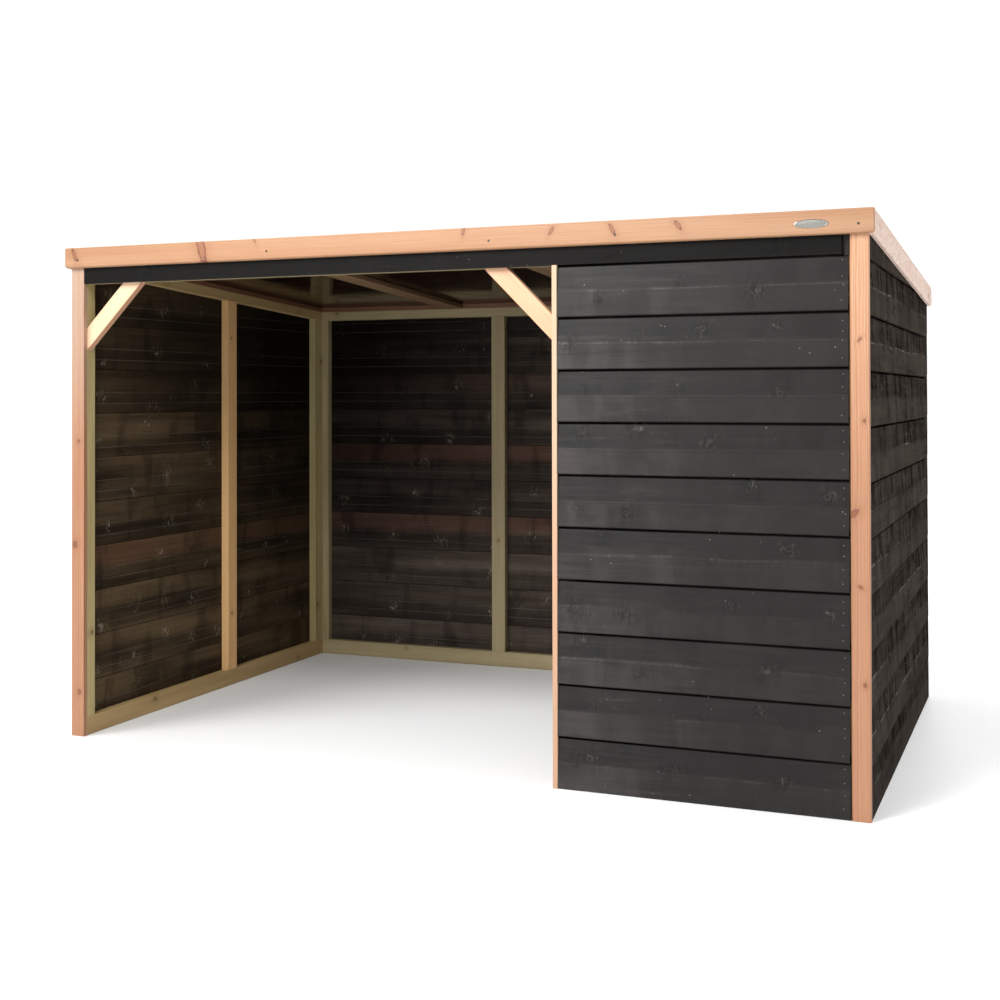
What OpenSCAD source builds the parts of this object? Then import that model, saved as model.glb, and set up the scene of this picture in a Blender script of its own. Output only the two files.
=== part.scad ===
// Field shelter: an open-fronted timber shelter with one closed panel beside the entrance.
// A frame of studs and plates stands on bottom plates on bare ground. Feather-edge
// weatherboards lap down the outside, planed boards trim the corners and the roof edge,
// and a single-pitch roof of battens, plywood and a membrane falls towards the back.
// Millimetres, +Z up, front towards -Y. The origin is on the ground, in the middle.

/* [Overall size] */
// Width over the side cladding
outer_w = 3044; // [2400:1:4200]
// Depth from the face of the corner boards to the rear cladding
outer_d = 1844; // [1450:1:2600]
// Height to the top of the front fascia
front_h = 1888; // [1500:1:2600]
// Fall of the roof towards the back, in degrees
roof_fall = 3.4; // [2:0.1:6]

/* [Front] */
// Width of the closed part of the front, from the entrance to the right side
closed_w = 1046; // [700:1:1300]
// Distance from the top of the front fascia down to the top of the entrance
header_drop = 138; // [110:1:300]
// Thickness of the jamb board at the closed side of the entrance
jamb_t = 18; // [12:1:30]

/* [Frame] */
// Thickness of the frame timber, through the wall
frame_t = 36; // [28:1:60]
// Face width of a stud
stud_w = 70; // [45:1:95]
// Face width of the two studs behind the front corner boards
front_stud_w = 48; // [36:1:95]
// Height of the bottom plates
bottom_plate_h = 70; // [45:1:120]
// Height of the top plates
top_plate_h = 42; // [30:1:70]
// Distance from the front of a side frame to its middle stud
side_bay = 940; // [500:1:1150]
// Radius of the long edges of the frame timber
frame_edge_r = 3; // [1:0.5:6]

/* [Corner braces] */
// Distance from the inner corner to the far edge of a brace, along post and header
brace_leg = 258; // [150:1:400]
// Face width of a brace, square to its length
brace_w = 62; // [40:1:90]
// Thickness of a brace, front to back
brace_t = 30; // [18:1:36]

/* [Weatherboards] */
// Visible height of one board
board_exposure = 175; // [120:1:220]
// Thickness of a board at its lower edge, which is also the thickness of the cladding
board_t = 20; // [16:1:30]
// Thickness of a board at its upper edge, where the next board laps it
board_thin_t = 11; // [6:1:15]
// Bevel on the lower outer edge of a board
board_bevel = 3; // [1:0.5:5]
// Height above its lower edge at which the face of a board changes slope
board_ridge_h = 86; // [60:1:100]
// How far the face stands out there, beyond a straight taper
board_crown = 0.75; // [0.1:0.05:2]
// Height of the shadow groove that is left below the next board
board_groove_h = 5; // [2:0.5:10]
// Depth of that groove
board_groove_d = 3; // [1:0.5:4]

/* [Trim] */
// Width of a corner board
corner_board_w = 58; // [40:1:100]
// Radius of the long edges of the corner boards and the jamb board
trim_edge_r = 2; // [1:0.5:5]
// Gap between the ends of the front boards and the right corner board
board_end_gap = 4; // [1:0.5:8]
// Distance from the end of the header board to the right corner board
header_end_gap = 24; // [14:1:40]
// Height of a fascia board
fascia_h = 78; // [60:1:140]
// Thickness of a fascia board
fascia_t = 18; // [14:1:28]
// Radius of the lower outer edge of a fascia board
fascia_edge_r = 9; // [2:0.5:12]
// Radius of the corner where a side fascia ends at the back
fascia_end_r = 26; // [5:1:45]

/* [Roof] */
// Height by which the fascias stand above the membrane
roof_upstand = 6; // [0:1:20]
// Thickness of the roof membrane
membrane_t = 3; // [1:0.5:6]
// Thickness of the plywood deck
deck_t = 9; // [6:1:25]
// Height of the roof battens and of the rafters
batten_h = 22; // [16:1:90]
// Width of one rafter; they stand in pairs
rafter_w = 48; // [36:1:60]
// Distance from the left side to the middle of the first pair of rafters
rafter_first = 797; // [500:1:900]
// Distance from the first pair of rafters to the second
rafter_pitch = 900; // [600:1:1100]
// Gap between pieces that meet side by side, such as the two rafters of a pair
joint_gap = 2; // [1:0.5:4]
// Clearance between sloping faces that lie on each other
seat_gap = 0.05; // [0.03:0.01:0.5]

/* [Hidden] */
$fn = 48;

treated_pine = "#8c7b52";
planed_fir = "#e6ae86";
pale_fir = "#f2dcb4";
black_stain = "#403d3c";
film_plywood = "#3a2419";
membrane_grey = "#2b2c2e";

// Places are measured from the front left corner of the walls, then moved to the origin.
wall_t = board_t + frame_t;
frame_front = board_t;
frame_back = outer_d - board_t;
inner_back = outer_d - wall_t;
inner_right = outer_w - wall_t;
jamb_x = outer_w - closed_w;
panel_x = jamb_x + jamb_t;
front_boards_end = outer_w - corner_board_w - board_end_gap;
header_end_x = outer_w - corner_board_w - header_end_gap;
entrance_h = front_h - header_drop;
back_end = outer_d + fascia_t;
fall = tan(roof_fall);

// Each layer of the roof lies at its own depth below the tops of the fascias.
membrane_drop = roof_upstand;
deck_drop = membrane_drop + membrane_t + seat_gap;
batten_drop = deck_drop + deck_t + seat_gap;
plate_drop = batten_drop + batten_h + seat_gap;
stud_drop = plate_drop + top_plate_h + seat_gap;

side_stud_y = [frame_front, frame_front + side_bay, inner_back - stud_w];
back_bays = 3;
back_stud_pitch = (outer_w - 2 * board_t - stud_w) / back_bays;
rafter_x = [
    rafter_first,
    rafter_first + rafter_pitch,
    (rafter_first + rafter_pitch + outer_w) / 2
];
rafter_half = rafter_w + joint_gap / 2;

// Height of the fascia tops at a distance y behind the front of the walls
function roof_z(y) = front_h - fall * (y + fascia_t);

// Left and right ends of the gaps between the rafter pairs, from wall to wall
function gap_starts() = concat([wall_t], [for (x = rafter_x) x + rafter_half]);
function gap_ends() = concat([for (x = rafter_x) x - rafter_half], [inner_right]);

// Face of one board, from its lower edge up to the next board: bevel, lower slope, upper
// slope, shadow groove
function board_face() =
    let (
        taper = (board_t - board_thin_t) / (board_exposure - board_bevel),
        ridge_t = board_t - taper * (board_ridge_h - board_bevel) + board_crown,
        groove_z = board_exposure - board_groove_h,
        groove_t = board_thin_t - board_groove_d
    )
    [
        [board_t - board_bevel, 0], [board_t, board_bevel], [ridge_t, board_ridge_h],
        [board_thin_t, groove_z], [groove_t, groove_z], [groove_t, board_exposure]
    ];

// Outline of lapped boards that covers at least the given height, flat back at x = 0
function lap_outline(height) =
    let (boards = ceil(height / board_exposure))
    concat(
        [[0, 0]],
        [for (k = [0 : boards - 1], corner = board_face()) corner + [0, k * board_exposure]],
        [[0, boards * board_exposure]]
    );

module placed() {
    translate([-outer_w / 2, -outer_d / 2, 0]) children();
}

module on_right() {
    translate([outer_w, 0, 0]) mirror([1, 0, 0]) children();
}

// Prism with its outline in the YZ plane, from x0 to x1
module side_prism(outline, x0, x1) {
    translate([x0, 0, 0]) rotate([90, 0, 90]) linear_extrude(x1 - x0) polygon(outline);
}

// Block that stands level at z0 and ends below the roof plane, cut to its slope
module under_roof(x0, x1, y0, y1, z0, drop) {
    outline = [[y0, z0], [y1, z0], [y1, roof_z(y1) - drop], [y0, roof_z(y0) - drop]];
    side_prism(outline, x0, x1);
}

// Layer parallel to the roof plane, its top at a given depth below that plane
module roof_layer(x0, x1, y0, y1, top_drop, thickness) {
    bottom_drop = top_drop + thickness;
    outline = [
        [y0, roof_z(y0) - bottom_drop], [y1, roof_z(y1) - bottom_drop],
        [y1, roof_z(y1) - top_drop], [y0, roof_z(y0) - top_drop]
    ];
    side_prism(outline, x0, x1);
}

module block(x0, x1, y0, y1, z0, z1) {
    translate([x0, y0, z0]) cube([x1 - x0, y1 - y0, z1 - z0]);
}

// ---- timber sections and pieces ----

// Rectangle with some of its corners rounded; [0, 1] is the corner at x = 0 and y = h
module eased_rect(w, h, r, corners = [[0, 0], [1, 0], [0, 1], [1, 1]]) {
    difference() {
        square([w, h]);
        for (corner = corners)
            translate([corner.x * w, corner.y * h])
                mirror([corner.x, 0])
                mirror([0, corner.y])
                difference() {
                    translate([-1, -1]) square(r + 1);
                    translate([r, r]) circle(r);
                }
    }
}

// Piece along X, level
module timber_x(x0, x1, y0, y1, z0, z1, r) {
    translate([x0, y0, z0]) rotate([90, 0, 90]) linear_extrude(x1 - x0) eased_rect(y1 - y0, z1 - z0, r);
}

// Piece along Y, level
module timber_y(x0, x1, y0, y1, z0, z1, r) {
    translate([x0, y1, z0]) rotate([90, 0, 0]) linear_extrude(y1 - y0) eased_rect(x1 - x0, z1 - z0, r);
}

// Piece along Z
module timber_z(x0, x1, y0, y1, z0, z1, r) {
    translate([x0, y0, z0]) linear_extrude(z1 - z0) eased_rect(x1 - x0, y1 - y0, r);
}

// Upright cut to the slope of the roof
module stud(x0, x1, y0, y1, z0, drop, r) {
    intersection() {
        timber_z(x0, x1, y0, y1, z0, front_h, r);
        under_roof(x0, x1, y0, y1, z0, drop);
    }
}

// Piece that runs down the slope, its section square to the roof and its ends plumb
module sloping_timber(x0, x1, y0, y1, top_drop, height) {
    intersection() {
        block(x0 - 1, x1 + 1, y0, y1, 0, front_h);
        translate([0, 0, roof_z(0) - top_drop - height])
            rotate([-roof_fall, 0, 0])
            timber_y(x0, x1, -board_t, outer_d + board_t, 0, height * cos(roof_fall), frame_edge_r);
    }
}

// ---- side frames, drawn on the left ----

module side_bottom_plate() {
    timber_y(board_t, wall_t, frame_front, inner_back, 0, bottom_plate_h, frame_edge_r);
}

module side_top_plate() {
    sloping_timber(board_t, wall_t, frame_front, inner_back, plate_drop, top_plate_h);
}

module side_stud(index) {
    width = index == 0 ? front_stud_w : stud_w;
    y0 = side_stud_y[index];
    stud(board_t, wall_t, y0, y0 + width, bottom_plate_h, stud_drop, frame_edge_r);
}

module side_cladding() {
    intersection() {
        translate([board_t, frame_back, 0])
            rotate([90, 0, 0])
            linear_extrude(frame_back - frame_front)
            mirror([1, 0])
            polygon(lap_outline(front_h));
        under_roof(0, board_t, frame_front, frame_back, 0, batten_drop);
    }
}

module side_roof_batten() {
    sloping_timber(board_t, wall_t, frame_front, frame_back, batten_drop, batten_h);
}

// Section of every fascia: the lower outer edge is rounded
module fascia_section(height) {
    eased_rect(fascia_t, height, fascia_edge_r, [[0, 0]]);
}

// Side view of a side fascia: plumb ends, the upper back corner rounded
module side_fascia_view() {
    y1 = back_end;
    arc_y = y1 - fascia_end_r;
    arc_z = roof_z(arc_y) - fascia_end_r / cos(roof_fall);
    difference() {
        polygon([[0, roof_z(0) - fascia_h], [y1, roof_z(y1) - fascia_h], [y1, roof_z(y1)],
            [0, roof_z(0)]]);
        difference() {
            translate([arc_y + fascia_end_r * sin(roof_fall), arc_z]) square(2 * fascia_end_r);
            translate([arc_y, arc_z]) circle(fascia_end_r);
        }
    }
}

module side_fascia() {
    intersection() {
        translate([-fascia_t, 0, 0]) rotate([90, 0, 90]) linear_extrude(fascia_t) side_fascia_view();
        translate([-fascia_t, 0, roof_z(0) - fascia_h])
            rotate([-roof_fall, 0, 0])
            translate([0, outer_d + 4 * fascia_t, 0])
            rotate([90, 0, 0])
            linear_extrude(outer_d + 6 * fascia_t)
            fascia_section(fascia_h + fascia_t);
    }
}

// ---- left side ----

module left_bottom_plate() { color(treated_pine) placed() side_bottom_plate(); }
module left_top_plate() { color(treated_pine) placed() side_top_plate(); }
module left_front_stud() { color(treated_pine) placed() side_stud(0); }
module left_middle_stud() { color(treated_pine) placed() side_stud(1); }
module left_rear_stud() { color(treated_pine) placed() side_stud(2); }
module left_cladding() { color(black_stain) placed() side_cladding(); }
module left_roof_batten() { color(treated_pine) placed() side_roof_batten(); }
module left_fascia() { color(planed_fir) placed() side_fascia(); }

// ---- right side ----

module right_bottom_plate() { color(treated_pine) placed() on_right() side_bottom_plate(); }
module right_top_plate() { color(treated_pine) placed() on_right() side_top_plate(); }
module right_front_stud() { color(treated_pine) placed() on_right() side_stud(0); }
module right_middle_stud() { color(treated_pine) placed() on_right() side_stud(1); }
module right_rear_stud() { color(treated_pine) placed() on_right() side_stud(2); }
module right_cladding() { color(black_stain) placed() on_right() side_cladding(); }
module right_roof_batten() { color(treated_pine) placed() on_right() side_roof_batten(); }
module right_fascia() { color(planed_fir) placed() on_right() side_fascia(); }

// ---- back wall ----

module back_stud(index) {
    x0 = board_t + index * back_stud_pitch;
    stud(x0, x0 + stud_w, inner_back, frame_back, bottom_plate_h, stud_drop, frame_edge_r);
}

module back_bottom_plate() {
    color(treated_pine) placed()
        timber_x(board_t, outer_w - board_t, inner_back, frame_back, 0, bottom_plate_h, frame_edge_r);
}

module back_top_plate() {
    color(treated_pine) placed()
        roof_layer(board_t, outer_w - board_t, inner_back, frame_back, plate_drop, top_plate_h);
}

module back_stud_1() { color(treated_pine) placed() back_stud(0); }
module back_stud_2() { color(treated_pine) placed() back_stud(1); }
module back_stud_3() { color(treated_pine) placed() back_stud(2); }
module back_stud_4() { color(treated_pine) placed() back_stud(3); }

module back_cladding() {
    color(black_stain) placed()
        intersection() {
            translate([0, frame_back, 0]) side_prism(lap_outline(front_h), 0, outer_w);
            under_roof(0, outer_w, frame_back, outer_d, 0, batten_drop);
        }
}

module back_fascia() {
    color(planed_fir) placed()
        intersection() {
            translate([0, back_end, roof_z(back_end) - fascia_h])
                rotate([90, 0, 90])
                linear_extrude(outer_w)
                mirror([1, 0])
                fascia_section(fascia_h);
            under_roof(0, outer_w, outer_d, back_end, 0, deck_drop);
        }
}

// ---- front ----

module front_bottom_plate() {
    color(treated_pine) placed()
        timber_x(panel_x, inner_right, frame_front, wall_t, 0, bottom_plate_h, frame_edge_r);
}

module front_jamb_stud() {
    color(treated_pine) placed()
        timber_z(panel_x, panel_x + stud_w, frame_front, wall_t, bottom_plate_h, entrance_h,
            frame_edge_r);
}

module front_end_stud() {
    color(treated_pine) placed()
        timber_z(inner_right - stud_w, inner_right, frame_front, wall_t, bottom_plate_h, entrance_h,
            frame_edge_r);
}

module header_beam() {
    color(treated_pine) placed()
        intersection() {
            timber_x(wall_t, inner_right, frame_front, wall_t, entrance_h, front_h, frame_edge_r);
            under_roof(wall_t, inner_right, frame_front, wall_t, entrance_h, plate_drop);
        }
}

module header_board() {
    color(black_stain) placed()
        under_roof(corner_board_w, header_end_x, 0, board_t, entrance_h, batten_drop);
}

module front_corner_board() {
    stud(0, corner_board_w, 0, board_t, 0, batten_drop, trim_edge_r);
}

module left_corner_board() { color(planed_fir) placed() front_corner_board(); }
module right_corner_board() { color(planed_fir) placed() on_right() front_corner_board(); }

module jamb_board() {
    color(planed_fir) placed() timber_z(jamb_x, panel_x, 0, wall_t, 0, entrance_h, trim_edge_r);
}

// The boards stop below the header board; past its end the top board runs on up to the roof
module front_cladding() {
    groove_t = board_thin_t - board_groove_d;
    color(black_stain) placed() {
        intersection() {
            translate([0, board_t, 0])
                mirror([0, 1, 0])
                side_prism(lap_outline(entrance_h), panel_x, front_boards_end);
            block(panel_x, outer_w, 0, board_t, 0, entrance_h);
        }
        under_roof(header_end_x + joint_gap, front_boards_end, board_t - groove_t, board_t,
            entrance_h - board_groove_h, batten_drop);
    }
}

// Brace in the corner below the header, mitred to the upright and to the header
module brace() {
    intersection() {
        translate([0, frame_front, entrance_h - brace_leg])
            rotate([0, -45, 0])
            timber_x(-brace_w, brace_leg * sqrt(2) + brace_w, 0, brace_t, 0, brace_w, frame_edge_r);
        block(0, outer_w, 0, outer_d, 0, entrance_h);
    }
}

module left_brace() {
    color(pale_fir) placed() translate([wall_t, 0, 0]) brace();
}

module right_brace() {
    color(pale_fir) placed() translate([jamb_x, 0, 0]) mirror([1, 0, 0]) brace();
}

// Rounded along its lower edge, and up its two lower corners as seen from the front
module front_fascia() {
    length = outer_w + 2 * fascia_t;
    color(planed_fir) placed()
        translate([-fascia_t, -fascia_t, front_h - fascia_h])
        intersection() {
            rotate([90, 0, 90]) linear_extrude(length) fascia_section(fascia_h);
            translate([0, fascia_t, 0])
                rotate([90, 0, 0])
                linear_extrude(fascia_t)
                eased_rect(length, fascia_h, fascia_edge_r, [[0, 0], [1, 0]]);
        }
}

// ---- roof ----

module cross_battens(y0, y1) {
    for (i = [0 : len(rafter_x)]) {
        roof_layer(gap_starts()[i], gap_ends()[i], y0, y1, batten_drop, batten_h);
    }
}

module front_roof_battens() { color(treated_pine) placed() cross_battens(frame_front, wall_t); }
module back_roof_battens() { color(treated_pine) placed() cross_battens(inner_back, frame_back); }

module rafter_pair(index) {
    for (x0 = [rafter_x[index] - rafter_half, rafter_x[index] + joint_gap / 2]) {
        sloping_timber(x0, x0 + rafter_w, frame_front, frame_back, batten_drop, batten_h);
    }
}

module rafter_pair_1() { color(treated_pine) placed() rafter_pair(0); }
module rafter_pair_2() { color(treated_pine) placed() rafter_pair(1); }
module rafter_pair_3() { color(treated_pine) placed() rafter_pair(2); }

// Sheets of plywood that meet over the rafter pairs
module roof_deck() {
    edges = concat([-joint_gap / 2], rafter_x, [outer_w + joint_gap / 2]);
    color(film_plywood) placed()
        for (i = [0 : len(rafter_x)]) {
            roof_layer(edges[i] + joint_gap / 2, edges[i + 1] - joint_gap / 2, 0, outer_d,
                deck_drop, deck_t);
        }
}

// The membrane runs over the back fascia, so that rain drips clear of the wall
module roof_membrane() {
    color(membrane_grey) placed()
        roof_layer(0, outer_w, 0, back_end, membrane_drop, membrane_t);
}

left_bottom_plate();
left_top_plate();
left_front_stud();
left_middle_stud();
left_rear_stud();
right_bottom_plate();
right_top_plate();
right_front_stud();
right_middle_stud();
right_rear_stud();
back_bottom_plate();
back_top_plate();
back_stud_1();
back_stud_2();
back_stud_3();
back_stud_4();
front_bottom_plate();
front_jamb_stud();
front_end_stud();
header_beam();
header_board();
left_brace();
right_brace();
left_corner_board();
right_corner_board();
jamb_board();
left_cladding();
right_cladding();
back_cladding();
front_cladding();
front_fascia();
left_fascia();
right_fascia();
back_fascia();
left_roof_batten();
right_roof_batten();
front_roof_battens();
back_roof_battens();
rafter_pair_1();
rafter_pair_2();
rafter_pair_3();
roof_deck();
roof_membrane();
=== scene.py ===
import math
import random

import bmesh
import bpy
import numpy as np
from mathutils import Matrix, Vector
from mathutils.bvhtree import BVHTree


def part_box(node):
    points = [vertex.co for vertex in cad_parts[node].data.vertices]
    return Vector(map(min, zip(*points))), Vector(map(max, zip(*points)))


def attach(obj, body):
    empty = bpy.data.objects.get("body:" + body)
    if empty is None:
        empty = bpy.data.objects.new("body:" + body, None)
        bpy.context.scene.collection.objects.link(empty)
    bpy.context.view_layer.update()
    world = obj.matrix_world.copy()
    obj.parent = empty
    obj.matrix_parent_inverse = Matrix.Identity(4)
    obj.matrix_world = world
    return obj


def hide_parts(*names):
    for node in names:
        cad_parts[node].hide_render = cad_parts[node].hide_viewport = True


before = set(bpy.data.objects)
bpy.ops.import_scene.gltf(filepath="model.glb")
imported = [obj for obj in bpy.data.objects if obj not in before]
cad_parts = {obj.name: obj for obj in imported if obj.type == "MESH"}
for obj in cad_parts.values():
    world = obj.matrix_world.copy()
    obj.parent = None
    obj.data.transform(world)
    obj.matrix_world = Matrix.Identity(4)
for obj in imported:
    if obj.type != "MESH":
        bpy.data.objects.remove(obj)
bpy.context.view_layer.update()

scene = bpy.context.scene
roofFall = math.radians(3.4)
alongX = Vector((1, 0, 0))
alongY = Vector((0, 1, 0))
upright = Vector((0, 0, 1))
toFront = Vector((0, -1, 0))
downSlope = Vector((0, math.cos(roofFall), -math.sin(roofFall)))
slopeNormal = Vector((0, math.sin(roofFall), math.cos(roofFall)))


# node helpers, for shaders and for geometry

def feed(tree, socket, value):
    if isinstance(value, bpy.types.NodeSocket):
        tree.links.new(value, socket)
    else:
        socket.default_value = value


def node(tree, kind, inputs=None, **settings):
    made = tree.nodes.new(kind)
    for key, value in settings.items():
        setattr(made, key, value)
    for key, value in (inputs or {}).items():
        feed(tree, made.inputs[key], value)
    return made


def outOf(tree, kind, inputs=None, **settings):
    # a new node's first output
    return node(tree, kind, inputs, **settings).outputs[0]


def calc(tree, operation, first, second=0.0, third=0.0):
    return outOf(tree, "ShaderNodeMath", {0: first, 1: second, 2: third}, operation=operation)


def times(tree, first, second):
    return calc(tree, "MULTIPLY", first, second)


def timesPlus(tree, first, second, added):
    return calc(tree, "MULTIPLY_ADD", first, second, added)


def between(tree, value, low, high, start=0.0, end=1.0):
    return outOf(tree, "ShaderNodeMapRange", {0: value, 1: low, 2: high, 3: start, 4: end},
                 interpolation_type="SMOOTHSTEP")


def hump(tree, value, middle, width):
    # 1 at the middle, falling to nothing a few widths away
    off = calc(tree, "DIVIDE", calc(tree, "SUBTRACT", value, middle), width)
    return calc(tree, "EXPONENT", times(tree, times(tree, off, off), -1.0))


def vector(tree, parts):
    return outOf(tree, "ShaderNodeCombineXYZ", parts)


def stretched(tree, vector, scale):
    return outOf(tree, "ShaderNodeVectorMath", {0: vector, 1: scale}, operation="MULTIPLY")


def lengthOf(tree, vector):
    return node(tree, "ShaderNodeVectorMath", {0: vector}, operation="LENGTH").outputs["Value"]


def noise(tree, vector, scale, detail=2.0, roughness=0.5, distortion=0.0):
    inputs = {"Vector": stretched(tree, vector, scale), "Scale": 1.0, "Detail": detail,
              "Roughness": roughness, "Distortion": distortion}
    return outOf(tree, "ShaderNodeTexNoise", inputs)


def attribute(tree, name, output="Fac"):
    return node(tree, "ShaderNodeAttribute", attribute_name=name).outputs[output]


def ownPlace(tree, axis=None):
    # the point in the object's own space, or its distance along one axis
    place = node(tree, "ShaderNodeTexCoord").outputs["Object"]
    if axis is None:
        return place
    return node(tree, "ShaderNodeSeparateXYZ", {0: place}).outputs[axis]


def linear(colour):
    # from a colour as seen on screen, 0 to 255, to linear values
    parts = [part / 255 for part in colour]
    return [part / 12.92 if part <= 0.04045 else ((part + 0.055) / 1.055) ** 2.4
            for part in parts] + [1.0]


def mixed(tree, amount, first, second):
    # each colour is a socket or a colour as seen on screen
    first, second = (colour if isinstance(colour, bpy.types.NodeSocket) else linear(colour)
                     for colour in (first, second))
    return node(tree, "ShaderNodeMix", {0: amount, 6: first, 7: second}, data_type="RGBA").outputs[2]


def overlaid(tree, body, figure, look, *layers):
    # a layer is a part of the figure or a socket, how much of it shows (a share, or the limits of
    # a smooth step) and the name of its colour in the look
    for part, amount, colour in layers:
        part = figure[part] if isinstance(part, str) else part
        steps = isinstance(amount, tuple)
        shown = between(tree, part, *amount) if steps else times(tree, part, amount)
        body = mixed(tree, shown, body, look[colour])
    return body


def newMaterial(name, roughness, specular=0.5, metallic=0.0):
    material = bpy.data.materials.new(name)
    material.use_nodes = True
    shader = material.node_tree.nodes["Principled BSDF"]
    shader.inputs["Roughness"].default_value = roughness
    shader.inputs["Specular IOR Level"].default_value = specular
    shader.inputs["Metallic"].default_value = metallic
    return material, material.node_tree


def dressed(material, body, rough=None, bump=None, shine=None):
    # bump is a height, its strength and its distance
    tree = material.node_tree
    if bump:
        bump = outOf(tree, "ShaderNodeBump", dict(zip(("Height", "Strength", "Distance"), bump)))
    given = {"Base Color": body, "Roughness": rough, "Normal": bump, "Specular IOR Level": shine}
    for key, socket in given.items():
        if socket is not None:
            tree.links.new(socket, tree.nodes["Principled BSDF"].inputs[key])
    return material


# what every timber finish starts from: growth rings, fibres and knots, read from the
# attributes that layFigure writes, so the figure follows each stick

def timberFigure():
    tree = bpy.data.node_groups.new("timberFigure", "ShaderNodeTree")
    for name, value in (("Ring width", 0.004), ("Wobble", 0.006)):
        socket = tree.interface.new_socket(name, in_out="INPUT", socket_type="NodeSocketFloat")
        socket.default_value = value
    given = node(tree, "NodeGroupInput").outputs
    grain = attribute(tree, "grain", "Vector")
    knotPull = attribute(tree, "knotPull")

    def grained(scale, *settings):
        return noise(tree, grain, scale, *settings)

    ragged = calc(tree, "SUBTRACT", grained((90, 90, 90), 3), 0.5)
    away = lengthOf(tree, stretched(tree, attribute(tree, "knotAt", "Vector"), (0.8, 1, 0)))
    away = timesPlus(tree, ragged, 0.9, away)

    def nearKnot(middle, width):
        return times(tree, hump(tree, away, middle, width), knotPull)

    knot = times(tree, between(tree, away, 1.05, 0.7), knotPull)
    halo = nearKnot(0.0, 2.6)

    # thin curling marks round a knot, broken up
    curl = hump(tree, grained((75, 24, 0), 2, 0.5, 0.8), 0.5, 0.03)
    broken = between(tree, grained((38, 30, 0), 2), 0.52, 0.6)
    strokes = times(tree, times(tree, curl, broken), nearKnot(1.0, 2.0))

    # darker sweeps of grain round the knots, and long scuffs across the stick
    swirled = grained((34, 11, 0), 2, 0.5, 2.2)
    sweep = times(tree, between(tree, swirled, 0.44, 0.6), nearKnot(0.0, 6.0))
    scrape = hump(tree, grained((34, 9, 0), 2, 0.5, 1.2), 0.5, 0.02)
    scrape = times(tree, scrape, between(tree, grained((50, 60, 0), 2), 0.44, 0.56))
    scuffs = times(tree, scrape, nearKnot(1.0, 3.6))

    # single pale specks, in loose groups
    cell = node(tree, "ShaderNodeTexVoronoi", {"Vector": stretched(tree, grain, (32, 46, 0)),
                                               "Scale": 1.0, "Randomness": 1.0})
    kept = outOf(tree, "ShaderNodeSeparateColor", {0: cell.outputs["Color"]})
    grouped = between(tree, grained((3, 7, 0), 2), 0.5, 0.6)
    specks = times(tree, between(tree, cell.outputs["Distance"], 0.075, 0.03),
                   times(tree, between(tree, kept, 0.3, 0.35), grouped))

    # rings round a heart that wanders along the stick, pushed aside by the knots
    slow = calc(tree, "SUBTRACT", grained((1.3, 5, 5), 2), 0.5)
    radius = calc(tree, "ADD", lengthOf(tree, stretched(tree, grain, (0, 1, 1))),
                  times(tree, slow, given["Wobble"]))
    radius = timesPlus(tree, halo, 0.007, radius)
    # good years and bad ones: the rings are not evenly spaced nor equally dark
    years = vector(tree, {0: radius})
    turn = timesPlus(tree, noise(tree, years, (70, 0, 0), 2), 2.5,
                     calc(tree, "DIVIDE", radius, given["Ring width"]))
    turn = calc(tree, "FRACT", turn)
    rings = times(tree, between(tree, turn, 0.15, 0.85), between(tree, turn, 1.0, 0.9))
    darkness = between(tree, noise(tree, years, (160, 0, 0), 2), 0.3, 0.7, 0.25, 1.0)

    parts = {
        "Rings": times(tree, rings, darkness),
        "Fibre": grained((7, 520, 520), 3),
        "Drift": grained((1.1, 14, 14), 3),
        "Blotch": grained((8, 2.5, 2.5), 3, 0.55, 0.6),
        "Streaks": grained((3, 150, 150), 3, 0.6),
        "Wave": grained((2.4, 0, 0), 3),
        "Cloud": grained((3.2, 22, 0), 3, 0.5, 0.8),
        "Comb": grained((13, 3.5, 0), 4, 0.62),
        "Dots": between(tree, grained((75, 75, 0), 2), 0.46, 0.6),
        "Knot": knot, "Knot rim": nearKnot(1.0, 0.2), "Knot halo": halo, "Sweep": sweep,
        "Strokes": strokes, "Scuffs": scuffs, "Specks": specks,
        "Tone": attribute(tree, "tone"), "Rise": attribute(tree, "rise"),
    }
    for name in parts:
        tree.interface.new_socket(name, in_out="OUTPUT", socket_type="NodeSocketFloat")
    node(tree, "NodeGroupOutput", parts)
    return tree


figureTree = timberFigure()


def figureIn(tree, ringWidth, wobble):
    return node(tree, "ShaderNodeGroup", {"Ring width": ringWidth, "Wobble": wobble},
                node_tree=figureTree).outputs


def planedTimber(name, look):
    # planed, unfinished timber: clear rings, brown knots
    material, tree = newMaterial(name, look["roughness"])
    figure = figureIn(tree, look["ringWidth"], look["wobble"])
    body = mixed(tree, between(tree, figure["Drift"], 0.3, 0.7), look["pale"], look["deep"])
    if "high" in look:
        # painted light: paler toward the top of the stick, standing in for the stronger light up there
        body = overlaid(tree, body, figure, look, (ownPlace(tree, 2), look["highFrom"], "high"))
    rings = figure["Rings"]
    if "curly" in look:
        rings = noise(tree, attribute(tree, "grain", "Vector"), (16, 38, 38), 3, 0.55, 1.6)
        rings = hump(tree, rings, 0.5, 0.035)
    body = overlaid(tree, body, figure, look, (rings, look["ringShow"], "ring"),
                    ("Fibre", (0.35, 0.75, 0.0, look["fibreShow"]), "ring"),
                    ("Tone", look["toneShow"], "toned"), ("Knot halo", 0.4, "ring"),
                    ("Knot", look["knotShow"], "knot"), ("Knot rim", look["rimShow"], "rim"))
    rough = between(tree, figure["Fibre"], 0.2, 0.8, look["roughness"] - 0.08, look["roughness"] + 0.1)
    height = timesPlus(tree, figure["Rings"], 0.5, figure["Fibre"])
    return dressed(material, body, rough, (height, 0.35, 0.0006))


woods = {}


def wood(name, base=(), **changes):
    # makes a planed finish that differs from another one in a few ways
    look = dict(base, **changes)
    woods[name] = planedTimber(name + "Finish", look)
    return look


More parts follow.
